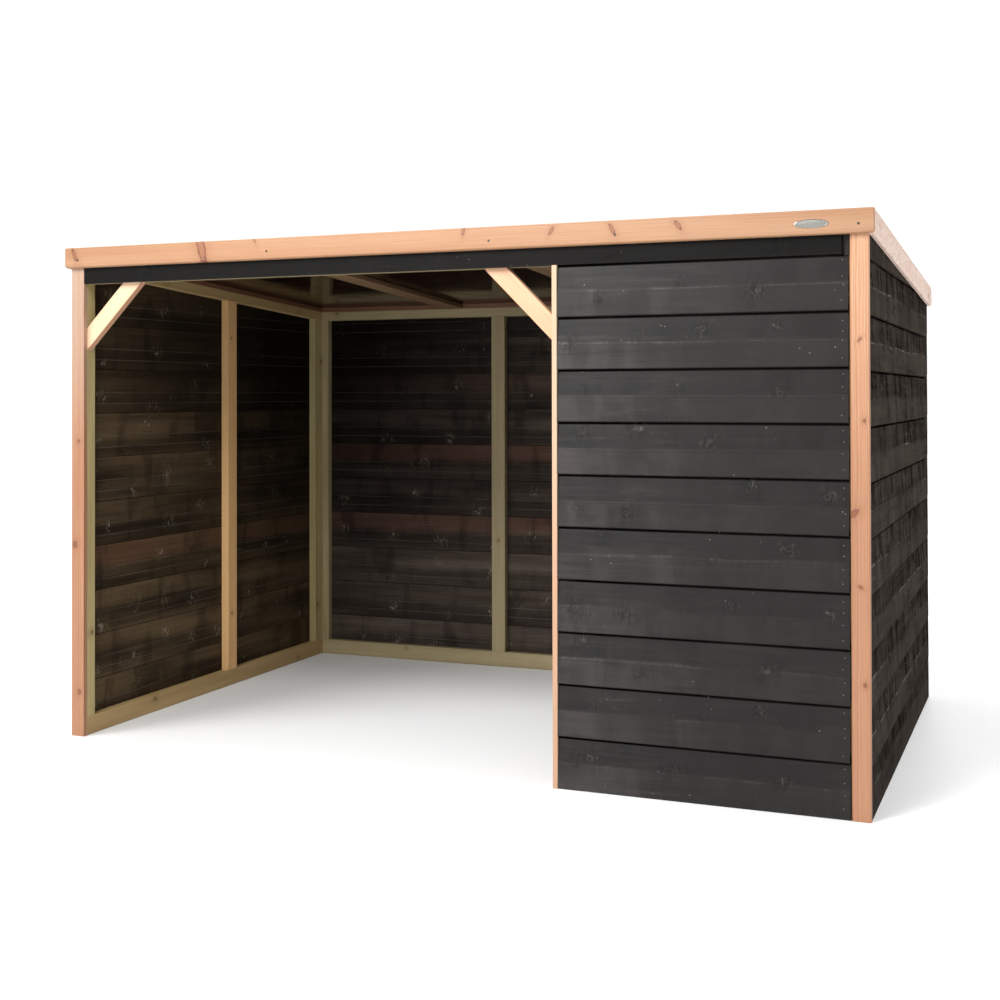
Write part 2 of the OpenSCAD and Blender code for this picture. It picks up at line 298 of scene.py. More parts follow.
fir = wood("fir", pale=(168, 130, 97), deep=(158, 116, 82), ring=(132, 80, 48),
           toned=(156, 112, 84), knot=(116, 62, 38), rim=(88, 38, 22), ringWidth=0.009,
           wobble=0.014, ringShow=0.26, fibreShow=0.2, toneShow=0.35, knotShow=0.42, rimShow=0.85,
           roughness=0.55)
# painted reflection: curly is much paler than fir, standing in for the white gloss the side fascia
# shows at a grazing view
wood("curly", fir, pale=(232, 208, 192), deep=(220, 192, 174), ring=(176, 138, 118),
     toned=(224, 198, 182), ringShow=0.6, fibreShow=0.15, curly=True)
# jamb, rosy and sunny take on a high colour toward the top of the stick: painted light
wood("jamb", fir, pale=(212, 180, 152), deep=(200, 164, 136), ring=(182, 130, 92),
     high=(206, 186, 158), highFrom=(0.85, 1.2))
rosy = wood("rosy", fir, pale=(174, 129, 96), deep=(161, 114, 82), ring=(126, 74, 45),
            toned=(166, 116, 88), knot=(112, 58, 34), rim=(76, 36, 20), ringWidth=0.0062,
            wobble=0.015, ringShow=0.58, fibreShow=0.35, knotShow=0.6, rimShow=0.7,
            high=(174, 152, 132), highFrom=(0.95, 1.7))
wood("sunny", rosy, high=(212, 168, 130), highFrom=(0.9, 1.75))
pale = wood("pale", pale=(221, 187, 158), deep=(211, 173, 138), ring=(190, 142, 98),
            toned=(208, 172, 134), knot=(150, 100, 62), rim=(110, 66, 40), ringWidth=0.004,
            wobble=0.012, ringShow=0.26, fibreShow=0.16, toneShow=0.4, knotShow=0.75, rimShow=0.5,
            roughness=0.55)
warm = wood("warm", pale, pale=(212, 171, 139), deep=(202, 156, 122), ring=(184, 130, 92),
            toned=(200, 154, 118))
# a darker copy of warm, painted shade for the braces' undersides
wood("under", warm, pale=(208, 162, 132), deep=(192, 142, 114))
treated = wood("treated", pale=(186, 163, 114), deep=(162, 141, 92), ring=(124, 98, 56),
               toned=(192, 148, 100), knot=(112, 76, 44), rim=(74, 48, 28), ringWidth=0.0042,
               wobble=0.014, ringShow=0.38, fibreShow=0.3, toneShow=0.8, knotShow=0.7,
               rimShow=0.45, roughness=0.62)
# painted light: these are paler copies of the treated finish, for studs that look more brightly lit
# than the lamps make them; the first is also warmer in tone
wood("fresh", treated, pale=(237, 195, 142), deep=(216, 172, 117), ring=(164, 118, 69),
     toned=(227, 180, 122))
wood("moss", treated, pale=(201, 185, 135), deep=(178, 162, 112))
wood("grey", treated, pale=(178, 164, 126), deep=(156, 142, 106), toned=(140, 126, 94))
wood("rafter", treated, pale=(142, 116, 86), deep=(118, 94, 64), ring=(86, 62, 38),
     toned=(116, 86, 58))
wood("batten", treated, pale=(128, 84, 58), deep=(104, 64, 44), ring=(76, 44, 28),
     toned=(112, 76, 50))

stainLook = dict(dark=(23, 21, 20), light=(32, 30, 28), warm=(56, 51, 49), black=(10, 9, 8),
                 pale=(112, 105, 101), speck=(176, 176, 170), ridge=0.086, groove=0.170,
                 sheen=0.3, smooth=0.40, matt=0.56, streak=0.06, upperPatch=0.6, lowerPatch=0.5,
                 lowerShow=(0.0, 0.4), ridgeHighlight=0.36, cloud=0.5, soft=0.012, ridgeHighlightWide=0.005,
                 dotted=0.55, comb=0.42, combEdge=(0.52, 0.57), fade=0.7, specks=0.7)
sideLook = dict(stainLook, dark=(54, 48, 44), light=(65, 59, 54), warm=(73, 67, 62),
                black=(14, 11, 9), pale=(156, 150, 144), sheen=0.0, smooth=0.7, matt=0.8,
                streak=0.03, upperPatch=0.3, lowerPatch=-0.25, lowerShow=(0.15, 0.65), ridgeHighlight=0.6,
                cloud=0.35, soft=0.010, ridgeHighlightWide=0.003, dotted=0.7, comb=0.8,
                combEdge=(0.46, 0.62), fade=0.0)
plainLook = dict(sideLook, comb=0.4, upperPatch=0.2, cloud=0.25, ridgeHighlight=0.35)
headerLook = dict(stainLook, dark=(9, 8, 7), light=(13, 11, 10), warm=(20, 18, 16),
                  black=(5, 5, 5), pale=(80, 76, 72), sheen=0.1, smooth=0.5, matt=0.6,
                  streak=0.02, cloud=0.15, fade=0.0, specks=0.35)


def slopedFace(tree, figure, look, body):
    # a board's lower part is warm and patchy, the steeper part above the ridge combed and blacker
    patches = between(tree, figure["Blotch"], 0.4, 0.62)
    sway = timesPlus(tree, calc(tree, "SUBTRACT", figure["Wave"], 0.5), 0.03, figure["Rise"])
    lower = between(tree, sway, look["ridge"] + look["soft"], look["ridge"] - look["soft"])
    upper = calc(tree, "SUBTRACT", 1.0, lower)
    shown = between(tree, figure["Wave"], 0.7, 0.3, *look["lowerShow"])
    combed = between(tree, figure["Comb"], *look["combEdge"], 0.0, look["comb"])
    # painted highlight, partly wear: the ridge is pale in places, where its edge catches the light
    wornAndLit = times(tree, between(tree, figure["Drift"], 0.42, 0.6),
                 between(tree, figure["Blotch"], 0.42, 0.58, 0.05, 1.0))
    ridgeHighlight = times(tree, hump(tree, sway, look["ridge"] + 0.001, look["ridgeHighlightWide"]), wornAndLit)
    dots = timesPlus(tree, figure["Dots"], look["dotted"], 1 - look["dotted"])
    body = overlaid(tree, body, figure, look,
                    (lower, timesPlus(tree, patches, look["lowerPatch"], shown), "warm"),
                    (upper, times(tree, patches, look["upperPatch"]), "black"),
                    (combed, timesPlus(tree, upper, 0.62, 0.38), "black"),
                    (times(tree, ridgeHighlight, dots), look["ridgeHighlight"], "pale"))
    # and the top edge lies in the shadow of the next board
    shadow = between(tree, figure["Rise"], look["groove"] - 0.005, look["groove"] - 0.002)
    return mixed(tree, times(tree, shadow, 0.95), body, (3, 3, 3)), shadow


def stainedFace(name, look, twoSlopes=True):
    # the stained outer face: nearly black, with the figure showing as a sheen
    material, tree = newMaterial(name, 0.5, look["sheen"])
    figure = figureIn(tree, 0.005, 0.02)
    body = mixed(tree, between(tree, figure["Drift"], 0.35, 0.7), look["dark"], look["light"])
    if twoSlopes:
        body, shadow = slopedFace(tree, figure, look, body)
    else:
        shadow = 0.0
        # a pale line along the lower edge: painted highlight where the eased edge catches the light,
        # and partly wear of the raw edge
        body = overlaid(tree, body, figure, look, ("Rise", (0.003, 0.0015, 0.0, 0.1), "pale"))
    body = overlaid(tree, body, figure, look,
                    ("Cloud", (0.52, 0.74, 0.0, look["cloud"]), "warm"),
                    ("Cloud", (0.46, 0.26, 0.0, look["cloud"]), "black"),
                    ("Streaks", (0.45, 0.75, 0.0, look["streak"]), "pale"))
    shine = None
    if look["fade"]:
        # painted shade: the front darkens and loses sheen toward its right end, standing in for the
        # light falling off there
        rightwardShade = timesPlus(tree, figure["Wave"], 0.5, ownPlace(tree, 0))
        rightwardShade = between(tree, rightwardShade, 0.7, 1.4, 0.0, look["fade"])
        body = mixed(tree, rightwardShade, body, look["dark"])
        shine = timesPlus(tree, rightwardShade, -0.28 * look["sheen"], look["sheen"])
        shine = times(tree, shine, calc(tree, "SUBTRACT", 1.0, shadow))
    body = overlaid(tree, body, figure, look, ("Sweep", 0.55, "black"), ("Knot halo", 0.75, "black"),
                    ("Knot", between(tree, figure["Drift"], 0.5, 0.58, 0.0, 0.12), "pale"),
                    ("Knot rim", 0.12, "pale"), ("Strokes", 0.34, "pale"),
                    ("Scuffs", 0.12, "pale"), ("Specks", look["specks"], "speck"))
    rough = between(tree, figure["Blotch"], 0.3, 0.7, look["matt"], look["smooth"])
    rough = timesPlus(tree, figure["Sweep"], 0.15, rough)
    height = timesPlus(tree, figure["Rings"], 0.5, times(tree, figure["Fibre"], 0.5))
    height = timesPlus(tree, figure["Knot halo"], 2.5, height)
    return dressed(material, body, rough, (height, 0.15, 0.0008), shine)


backLook = dict(dark=(28, 23, 17), brown=(98, 81, 60), red=(98, 72, 54), scuff=(188, 180, 160),
                black=(5, 4, 3), lowerDark=0.26)
rearLook = dict(backLook, dark=(25, 22, 20), brown=(100, 88, 79), red=(102, 72, 61),
                lowerDark=0.46)


def stainedBack(name, grooves, look):
    # the rougher inner face: brown shows through, scuffed along the milled lines
    material, tree = newMaterial(name, 0.7, 0.03)
    figure = figureIn(tree, 0.005, 0.02)
    rise = figure["Rise"]
    body = mixed(tree, between(tree, figure["Drift"], 0.1, 0.8), look["dark"], look["brown"])
    # each board's lower part took more stain than the part above it
    sway = timesPlus(tree, calc(tree, "SUBTRACT", figure["Blotch"], 0.5), 0.08, rise)
    upper = between(tree, sway, 0.085, 0.135)
    reddish = times(tree, between(tree, figure["Tone"], 0.7, 0.9, 0.0, 0.7), upper)
    lower = calc(tree, "SUBTRACT", 1.0, upper)
    # seams show where the boards lap, and two milled lines between
    line = calc(tree, "ADD", hump(tree, rise, grooves[0], 0.0011),
                hump(tree, rise, grooves[1], 0.0011))
    # painted shade: the boards darken toward the rear left corner under the roof, where little light
    # reaches
    cornerShade = node(tree, "ShaderNodeVectorMath", {0: ownPlace(tree), 1: (-1.45, 0.85, 1.7)},
                operation="DISTANCE").outputs["Value"]
    body = overlaid(tree, body, figure, look,
                    (reddish, between(tree, figure["Streaks"], 0.25, 0.5), "red"),
                    (lower, look["lowerDark"], "dark"), ("Tone", (0.4, 0.05, 0.0, 0.5), "dark"),
                    ("Streaks", (0.45, 0.7, 0.0, 0.3), "dark"),
                    ("Blotch", (0.5, 0.35, 0.0, 0.4), "dark"),
                    (hump(tree, rise, 0.020, 0.0022), 0.8, "black"),
                    (line, between(tree, figure["Wave"], 0.40, 0.58, 0.04, 0.85), "scuff"),
                    ("Strokes", 0.6, "scuff"), ("Scuffs", 0.3, "scuff"), ("Specks", 0.5, "scuff"),
                    (cornerShade, (0.2, 1.8, 0.9, 0.0), "black"))
    height = timesPlus(tree, figure["Rings"], 0.6, figure["Fibre"])
    return dressed(material, body, bump=(height, 0.5, 0.0008))


def filmFinish():
    # film-faced plywood, smooth and glossy
    material, tree = newMaterial("filmFinish", 0.1, 0.1)
    place = ownPlace(tree)
    cloud = noise(tree, place, (3, 3, 3), 3)
    body = mixed(tree, between(tree, cloud, 0.3, 0.7), (28, 14, 8), (38, 20, 12))
    rough = between(tree, noise(tree, place, (9, 9, 9), 3), 0.3, 0.7, 0.07, 0.16)
    return dressed(material, body, rough, (noise(tree, place, (5, 5, 5), 2), 0.2, 0.002))


def membraneFinish():
    # gritty roofing sheet in lengths a metre wide, each lapped over the next
    material, tree = newMaterial("membraneFinish", 0.9, 0.2)
    place = ownPlace(tree)
    grit = noise(tree, place, (900, 900, 900), 2)
    cloud = noise(tree, place, (2, 2, 2), 4)
    body = mixed(tree, between(tree, grit, 0.3, 0.7), (38, 39, 41), (62, 63, 65))
    body = mixed(tree, between(tree, cloud, 0.45, 0.75, 0.0, 0.15), body, (88, 86, 82))
    length = calc(tree, "FRACT", calc(tree, "ADD", ownPlace(tree, 0), 0.04))
    body = mixed(tree, times(tree, hump(tree, length, 0.5, 0.003), 0.8), body, (16, 16, 17))
    body = mixed(tree, between(tree, length, 0.5, 0.42, 0.0, 0.2), body, (34, 35, 37))
    lap = times(tree, between(tree, length, 0.502, 0.498), between(tree, length, 0.38, 0.42))
    rough = between(tree, grit, 0.3, 0.7, 0.95, 0.85)
    return dressed(material, body, rough, (timesPlus(tree, lap, 4.0, grit), 0.4, 0.0006))


def metalFinish(name, colour, low, high):
    material, tree = newMaterial(name, 0.4, metallic=1.0)
    brushed = noise(tree, ownPlace(tree), (60, 900, 900), 3)
    body = mixed(tree, between(tree, brushed, 0.3, 0.7, 0.0, 0.4), colour, (96, 96, 94))
    return dressed(material, body, between(tree, brushed, 0.3, 0.7, low, high))


def newObject(name, data):
    made = bpy.data.objects.new(name, data)
    scene.collection.objects.link(made)
    return made


def evaluatedMesh(item):
    # the object's mesh with its modifiers worked in
    bpy.context.view_layer.update()
    return bpy.data.meshes.new_from_object(
        item.evaluated_get(bpy.context.evaluated_depsgraph_get()))


def meshFrom(work, name):
    mesh = bpy.data.meshes.new(name)
    work.to_mesh(mesh)
    work.free()
    return mesh


# small metal: heads drawn once and set on a list of places

def newTree(name, sockets):
    tree = bpy.data.node_groups.new(name, "GeometryNodeTree")
    tree.is_modifier = True
    tree.interface.new_socket("Geometry", in_out="INPUT", socket_type="NodeSocketGeometry")
    for label, kind in sockets.items():
        tree.interface.new_socket(label, in_out="INPUT", socket_type="NodeSocket" + kind)
    tree.interface.new_socket("Geometry", in_out="OUTPUT", socket_type="NodeSocketGeometry")
    return tree, node(tree, "NodeGroupInput").outputs, node(tree, "NodeGroupOutput").inputs


def grown(tree, name, inputs):
    # the tree's result as a plain mesh
    carrier = newObject(name, bpy.data.meshes.new(name))
    modifier = carrier.modifiers.new(name, "NODES")
    modifier.node_group = tree
    sockets = {item.name: item.identifier for item in tree.interface.items_tree
               if item.item_type == "SOCKET" and item.in_out == "INPUT"}
    for label, value in inputs.items():
        modifier[sockets[label]] = value
    mesh = evaluatedMesh(carrier)
    bpy.data.objects.remove(carrier)
    return mesh


def shapeOf(tree, socket):
    return node(tree, "GeometryNodeObjectInfo", {"Object": socket}).outputs["Geometry"]


def closeTree(tree, geometry, material, result):
    done = outOf(tree, "GeometryNodeSetMaterial", {"Geometry": geometry, "Material": material})
    tree.links.new(done, result[0])
    return tree


def fastenerTree():
    tree, given, result = newTree("fasteners", {
        "Places": "Object", "Head": "Object", "Facing": "Vector", "Seed": "Int",
        "Material": "Material"})
    aim = outOf(tree, "FunctionNodeAlignRotationToVector", {"Vector": given["Facing"]}, axis="Z")
    spin = node(tree, "FunctionNodeRandomValue", {3: math.tau, "Seed": given["Seed"]},
                data_type="FLOAT").outputs[1]
    turn = outOf(tree, "FunctionNodeEulerToRotation", {0: vector(tree, {2: spin})})
    aimed = outOf(tree, "FunctionNodeRotateRotation", {"Rotation": aim, "Rotate By": turn},
                  rotation_space="LOCAL")
    points = outOf(tree, "GeometryNodeMeshToPoints", {"Mesh": shapeOf(tree, given["Places"])})
    heads = outOf(tree, "GeometryNodeInstanceOnPoints",
                  {"Points": points, "Instance": shapeOf(tree, given["Head"]), "Rotation": aimed})
    whole = outOf(tree, "GeometryNodeRealizeInstances", {"Geometry": heads})
    return closeTree(tree, whole, given["Material"], result)


headTree = fastenerTree()
nailFinish = metalFinish("nailFinish", (132, 132, 128), 0.4, 0.6)
screwFinish = metalFinish("screwFinish", (84, 80, 76), 0.35, 0.6)
plateFinish = metalFinish("plateFinish", (178, 178, 172), 0.22, 0.4)
headShape = dict(sides=10,
                 nail=[(0.0016, -0.002), (0.0016, 0.0002), (0.0009, 0.0006)],
                 screw=[(0.0037, -0.001), (0.0037, 0.0), (0.0017, 0.0002), (0.0014, -0.0018)],
                 sink=[(0.0024, -0.0040), (0.0048, -0.0005), (0.0050, 0.0010)])


def turnedMesh(name, rings, sides, widen=1.0):
    # rings of (radius, height) joined up and closed at both ends; widen stretches it along x
    points = []
    for radius, height in rings:
        for k in range(sides):
            turn = math.tau * k / sides
            points.append((radius * math.cos(turn) * widen, radius * math.sin(turn), height))
    faces = [tuple(reversed(range(sides)))]
    for ring in range(len(rings) - 1):
        for k in range(sides):
            a = ring * sides + k
            b = ring * sides + (k + 1) % sides
            faces.append((a, b, b + sides, a + sides))
    faces.append(tuple(range((len(rings) - 1) * sides, len(rings) * sides)))
    mesh = bpy.data.meshes.new(name)
    mesh.from_pydata(points, [], faces)
    return mesh


def setHeads(name, kind, places, facing, seed, material):
    # the heads of one kind, as one mesh
    spots = bpy.data.meshes.new(name + "Places")
    spots.from_pydata([tuple(place) for place in places], [], [])
    head = turnedMesh(kind, headShape[kind], headShape["sides"])
    holders = [newObject(data.name, data) for data in (spots, head)]
    mesh = grown(headTree, name, {"Places": holders[0], "Head": holders[1], "Facing": tuple(facing),
                                  "Seed": seed, "Material": material})
    for holder in holders:
        bpy.data.objects.remove(holder)
    return mesh


def carved(mesh, cutter):
    # takes the cutter's shape out of the mesh
    work = newObject("work", mesh)
    tool = newObject("tool", cutter)
    cut = work.modifiers.new("cut", "BOOLEAN")
    cut.operation = "DIFFERENCE"
    cut.solver = "EXACT"
    cut.object = tool
    result = evaluatedMesh(work)
    for item in (work, tool):
        bpy.data.objects.remove(item)
    return result


# timber pieces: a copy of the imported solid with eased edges, cut into short lengths so that
# its figure can bend round the knots

def meshIslands(mesh):
    parent = list(range(len(mesh.vertices)))

    def root(index):
        while parent[index] != index:
            parent[index] = parent[parent[index]]
            index = parent[index]
        return index
    for edge in mesh.edges:
        first, second = (root(index) for index in edge.vertices)
        parent[first] = second
    groups = {}
    for index in range(len(parent)):
        groups.setdefault(root(index), []).append(index)
    return sorted(groups.values(), key=min)


# how far a knot bends the figure: so many radii and a bit more, fading out, and not across the
# border to the next knot
knotReach = dict(radii=5, beyond=0.09, fading=0.05, border=0.045, clearEnd=0.04)


def strewKnots(rng, length, width, perMetre, size):
    knots = []
    place = rng.uniform(0.1, 0.6) / max(perMetre, 0.1)
    while place < length - knotReach["clearEnd"]:
        knots.append((place, rng.uniform(-0.3, 0.3) * width, rng.uniform(0.6, 1.2) * size))
        place += rng.uniform(0.6, 1.5) / perMetre
    return knots


def layFigure(mesh, along, seed, knots=None, perMetre=1.0, size=0.007, flatSawn=(0.03, 0.08),
              aside=0.25, tone=None):
    # writes where each point lies in its own stick, and what knot is nearest
    rng = random.Random(seed)
    places = np.array([vertex.co for vertex in mesh.vertices])
    grain, knotAt = np.zeros((2, len(places), 3), np.float32)
    knotPull, toneOf, rise = np.zeros((3, len(places)), np.float32)
    sides = sorted((alongX, alongY, upright), key=lambda axis: abs(axis.dot(along)))
    for island in meshIslands(mesh):
        own = places[island]
        first = (sides[0] - along * sides[0].dot(along)).normalized()
        second = along.cross(first).normalized()
        spreads = [np.ptp(own @ np.array(axis)) for axis in (first, second)]
        across, through = (first, second) if spreads[0] >= spreads[1] else (second, first)
        if across.z < -0.5 or (abs(across.z) <= 0.5 and across.y + across.x < 0):
            across = -across
        u, v, w = (own @ np.array(axis) for axis in (along, across, through))
        length, width = np.ptp(u), np.ptp(v)
        u = u - u.min()
        middle = v - (v.min() + v.max()) / 2
        # the heart of the tree lies a little to one side, and below or above the face
        side = rng.uniform(-0.25, 0.25) * width if aside < 1 else aside * width
        depth = rng.uniform(*flatSawn) * rng.choice((-1, 1))
        grain[island, 0] = u + rng.uniform(0, 40)
        grain[island, 1] = middle + side
        grain[island, 2] = w - w.mean() + depth
        toneOf[island] = rng.random() if tone is None else tone
        rise[island] = v - v.min()
        found = knots if knots is not None else strewKnots(rng, length, width, perMetre, size)
        if not found:
            continue
        # a knot is its place along and across the stick, its radius, and for a spike knot how
        # many times longer it is than wide and how far it leans
        table = np.array([tuple(knot) + (1, 0)[len(knot) - 3:] for knot in found])
        centres = table[:, 0]
        nearest = np.abs(u[:, None] - centres[None, :]).argmin(1)
        acrossOf, radius, spike, lean = table[nearest, 1:].T
        offset = u - centres[nearest]
        height = middle - acrossOf
        knotAt[island, 0] = (offset - lean * height) / radius
        knotAt[island, 1] = height / (radius * spike)
        reach = radius * knotReach["radii"] + knotReach["beyond"]
        pull = np.clip((reach - np.abs(offset)) / knotReach["fading"], 0, 1)
        if len(found) > 1:
            borders = (centres[1:] + centres[:-1]) / 2
            nearBorder = np.abs(u[:, None] - borders[None, :]).min(1)
            pull = np.where(nearBorder < knotReach["border"], 0, pull)
        knotPull[island] = pull
    layers = dict(grain=grain, knotAt=knotAt, knotPull=knotPull, tone=toneOf, rise=rise)
    for name, values in layers.items():
        kind, field = ("FLOAT_VECTOR", "vector") if values.ndim == 2 else ("FLOAT", "value")
        mesh.attributes.new(name, kind, "POINT").data.foreach_set(field, values.ravel())


def everyPart(work):
    return work.verts[:] + work.edges[:] + work.faces[:]


def cutLengths(work, along, step):
    # cross cuts every step, which leave the shape as it is
    reach = [vertex.co.dot(along) for vertex in work.verts]
    place = min(reach) + step
    while place < max(reach) - step / 2:
        bmesh.ops.bisect_plane(work, geom=everyPart(work), plane_co=along * place, plane_no=along)
        place += step


def cutOff(work, place, normal):
    # takes off what lies beyond the plane and closes the cut
    cut = bmesh.ops.bisect_plane(work, geom=everyPart(work), plane_co=place, plane_no=normal,
                                 clear_outer=True)
    edges = [item for item in cut["geom_cut"] if isinstance(item, bmesh.types.BMEdge)]
    bmesh.ops.holes_fill(work, edges=edges)


def addPiece(name, mesh, materials=(), nodes=()):
    mesh.name = name
    piece = newObject(name, mesh)
    for material in materials:
        mesh.materials.append(material)
    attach(piece, "root")
    if nodes:
        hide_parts(*nodes)
    return piece


def nodeNamed(name):
    # the node a piece stands in for: leftTopPlate is left_top_plate
    return "".join(part if part.islower() else "_" + part.lower() for part in name)


cutting = dict(joins=0.00001, flat=math.radians(1), sharp=math.radians(50), step=0.04)


# how far the edges are rounded off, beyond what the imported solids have
easings = dict(frontFascia=0.0015, backFascia=0.0015, leftFascia=0.0015, rightFascia=0.0015,
               frontRoofBattens=0.0015, backRoofBattens=0.0015, headerBoard=0.0015,
               backTopPlate=0.0025)


def easedCopy(nodeName, easing, along):
    work = bmesh.new()
    work.from_mesh(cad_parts[nodeName].data)
    bmesh.ops.remove_doubles(work, verts=work.verts, dist=cutting["joins"])
    bmesh.ops.dissolve_limit(work, angle_limit=cutting["flat"], verts=work.verts, edges=work.edges)
    if easing:
        sharp = [edge for edge in work.edges if edge.calc_face_angle(0) > cutting["sharp"]]
        bmesh.ops.bevel(work, geom=sharp, offset=easing, segments=2, profile=0.5, affect="EDGES",
                        clamp_overlap=True)
    cutLengths(work, along, cutting["step"])
    mesh = meshFrom(work, nodeName)
    if "custom_normal" in mesh.attributes:
        mesh.attributes.remove(mesh.attributes["custom_normal"])
    return mesh


def timberPiece(name, along, finish, slot, seed, cutter=None, **figure):
    mesh = easedCopy(nodeNamed(name), easings.get(name), along)
    if cutter:
        mesh = carved(mesh, cutter)
    layFigure(mesh, along, seed, **figure)
    return addPiece(name, mesh, [finish], [nodeNamed(name)])


firstSeed = dict(treated=20, roof=60, trim=80, braces=90)
# the direction of the grain, the finish, and how strongly the stick is toned if not by chance
treatedPieces = dict(
    leftBottomPlate=(alongY, "treated", 0.3),
    leftTopPlate=(downSlope, "treated", None),
    leftFrontStud=(upright, "moss", 0.0),
    leftMiddleStud=(upright, "fresh", 0.8),
    leftRearStud=(upright, "moss", 0.0),
    rightBottomPlate=(alongY, "treated", None),
    rightTopPlate=(downSlope, "treated", None),
    rightFrontStud=(upright, "treated", None),
    rightMiddleStud=(upright, "treated", None),
    rightRearStud=(upright, "treated", None),
    backBottomPlate=(alongX, "grey", 0.2),
    backTopPlate=(alongX, "grey", 0.45),
    backStud1=(upright, "grey", 0.0),
    backStud2=(upright, "grey", 0.5),
    backStud3=(upright, "grey", 0.6),
    backStud4=(upright, "grey", None),
    frontBottomPlate=(alongX, "treated", None),
    frontJambStud=(upright, "treated", None),
    frontEndStud=(upright, "treated", None),
    headerBeam=(alongX, "grey", 1.0),
)
for count, (name, (along, finish, tone)) in enumerate(treatedPieces.items()):
    timberPiece(name, along, woods[finish], "treated_pine", firstSeed["treated"] + count, tone=tone)
print("treated frame done")

roofTimbers = dict(leftRoofBatten=downSlope, rightRoofBatten=downSlope, frontRoofBattens=alongX,
                   backRoofBattens=alongX, rafterPair1=downSlope, rafterPair2=downSlope,
                   rafterPair3=downSlope)
for count, (name, along) in enumerate(roofTimbers.items()):
    finish = "rafter" if name.startswith("rafter") else "batten"
    timberPiece(name, along, woods[finish], "treated_pine", firstSeed["roof"] + count)
print("roof timbers done")

trimPieces = dict(frontFascia=(alongX, "fir"), backFascia=(alongX, "fir"),
                  leftFascia=(downSlope, "fir"), rightFascia=(downSlope, "curly"),
                  leftCornerBoard=(upright, "rosy"), rightCornerBoard=(upright, "sunny"),
                  jambBoard=(upright, "jamb"))
trimKnots = dict(
    frontFascia=[(0.045, 0.012, 0.006, 3.4, -0.4), (0.625, 0.034, 0.0125, 6.4, -0.25),
                 (0.86, 0.034, 0.003, 3, -0.5), (1.70, 0.028, 0.004, 3, 0.2),
                 (2.022, 0.014, 0.0045, 2.6, 0.5), (2.236, 0.010, 0.005, 2.8, -0.5),
                 (2.46, 0.012, 0.0055, 2.4, -0.6)],
    leftCornerBoard=[(0.17, 0.008, 0.007), (0.74, -0.012, 0.009), (1.14, 0.004, 0.005)],
    rightCornerBoard=[(0.42, 0.012, 0.005), (0.72, 0.0, 0.004, 1.5, -0.4),
                      (0.947, -0.019, 0.0075, 1.5, 0.5), (1.232, 0.013, 0.0045),
                      (1.484, 0.0, 0.0035, 1.6, 0.8)],
)
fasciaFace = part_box("front_fascia")
fasciaFixings = dict(across=(-1.478, -0.628, 0.254, 0.706, 1.493), below=0.048, sunk=0.0012)
# the plate's rings are a share of its size and a height above the recess
ovalPlate = dict(across=1.348, below=0.043, width=0.109, height=0.028, deep=0.0015, sides=56,
                 recess=[(1.02, 0.0), (1.02, 0.004)],
                 rings=[(0.98, 0.0), (0.98, 0.0011), (0.955, 0.0014), (0.90, 0.0014),
                        (0.875, 0.0009), (0.82, 0.0009), (0.45, 0.0012), (0.05, 0.0013)])


def onFascia(across, below, deep=0.0):
    return Vector((across, fasciaFace[0].y + deep, fasciaFace[1].z - below))


def ovalDisc(name, rings):
    # faces the front
    radius = ovalPlate["height"] / 2
    mesh = turnedMesh(name, [(share * radius, height) for share, height in rings],
                      ovalPlate["sides"], ovalPlate["width"] / ovalPlate["height"])
    seat = onFascia(ovalPlate["across"], ovalPlate["below"], ovalPlate["deep"])
    mesh.transform(Matrix.Translation(seat) @ Matrix.Rotation(math.radians(90), 4, "X"))
    return mesh


def fasciaCutter(spots):
    # the countersinks and the oval recess together
    work = bmesh.new()
    work.from_mesh(setHeads("sinks", "sink", spots, toFront, 1, screwFinish))
    work.from_mesh(ovalDisc("recess", ovalPlate["recess"]))
    return meshFrom(work, "fasciaCutter")


screwSpots = [onFascia(across, fasciaFixings["below"]) for across in fasciaFixings["across"]]
cutters = dict(frontFascia=fasciaCutter(screwSpots))
for count, (name, (along, finish)) in enumerate(trimPieces.items()):
    timberPiece(name, along, woods[finish], "planed_fir", firstSeed["trim"] + count,
                cutter=cutters.get(name), knots=trimKnots.get(name), aside=1.3)
screwSpots = [place - toFront * fasciaFixings["sunk"] for place in screwSpots]
addPiece("fasciaScrews", setHeads("fasciaScrews", "screw", screwSpots, toFront, 2, screwFinish))
addPiece("ovalPlate", ovalDisc("ovalPlate", ovalPlate["rings"]), [plateFinish])

halfSquare = math.sqrt(0.5)
braces = dict(leftBrace=(Vector((halfSquare, 0, halfSquare)), "pale"),
              rightBrace=(Vector((-halfSquare, 0, halfSquare)), "warm"))
for count, (name, (along, finish)) in enumerate(braces.items()):
    brace = timberPiece(name, along, woods[finish], "pale_fir", firstSeed["braces"] + count)
    # painted shade: the underside, facing down, gets a darker, browner copy of the finish
    brace.data.materials.append(woods["under"])
    for face in brace.data.polygons:
        face.material_index = 1 if face.normal.z < -0.5 else 0
print("trim and braces done")


# weatherboards: one board drawn along its length, repeated up the wall

boardShape = dict(exposure=0.175, lap=0.020, butt=0.020, thin=0.011, tip=0.008, bevel=0.003,
                  ridge=0.086, ridgeOut=0.0164, slot=0.005, rebate=0.009, groove=0.0008,
                  grooves=(0.060, 0.104), step=0.05, bow=0.0012, endPlay=0.003)


def boardProfile(shape):
    # outward distance and height, from the inner end of the lower edge
    top = shape["exposure"] + shape["lap"]
    slot = shape["exposure"] - shape["slot"]
    points = [(shape["rebate"], 0), (shape["butt"] - shape["bevel"], 0),
              (shape["butt"], shape["bevel"]), (shape["ridgeOut"], shape["ridge"] - 0.002),
              (shape["ridgeOut"] - 0.0005, shape["ridge"] + 0.001), (shape["thin"], slot),
              (shape["tip"], slot + 0.0005), (shape["tip"], top), (0, top)]
    for height in reversed(shape["grooves"]):
        points += [(0, height + 0.001), (shape["groove"], height), (0, height - 0.001)]
    return points + [(0, shape["lap"] + 0.002), (shape["rebate"], shape["lap"] + 0.002)]


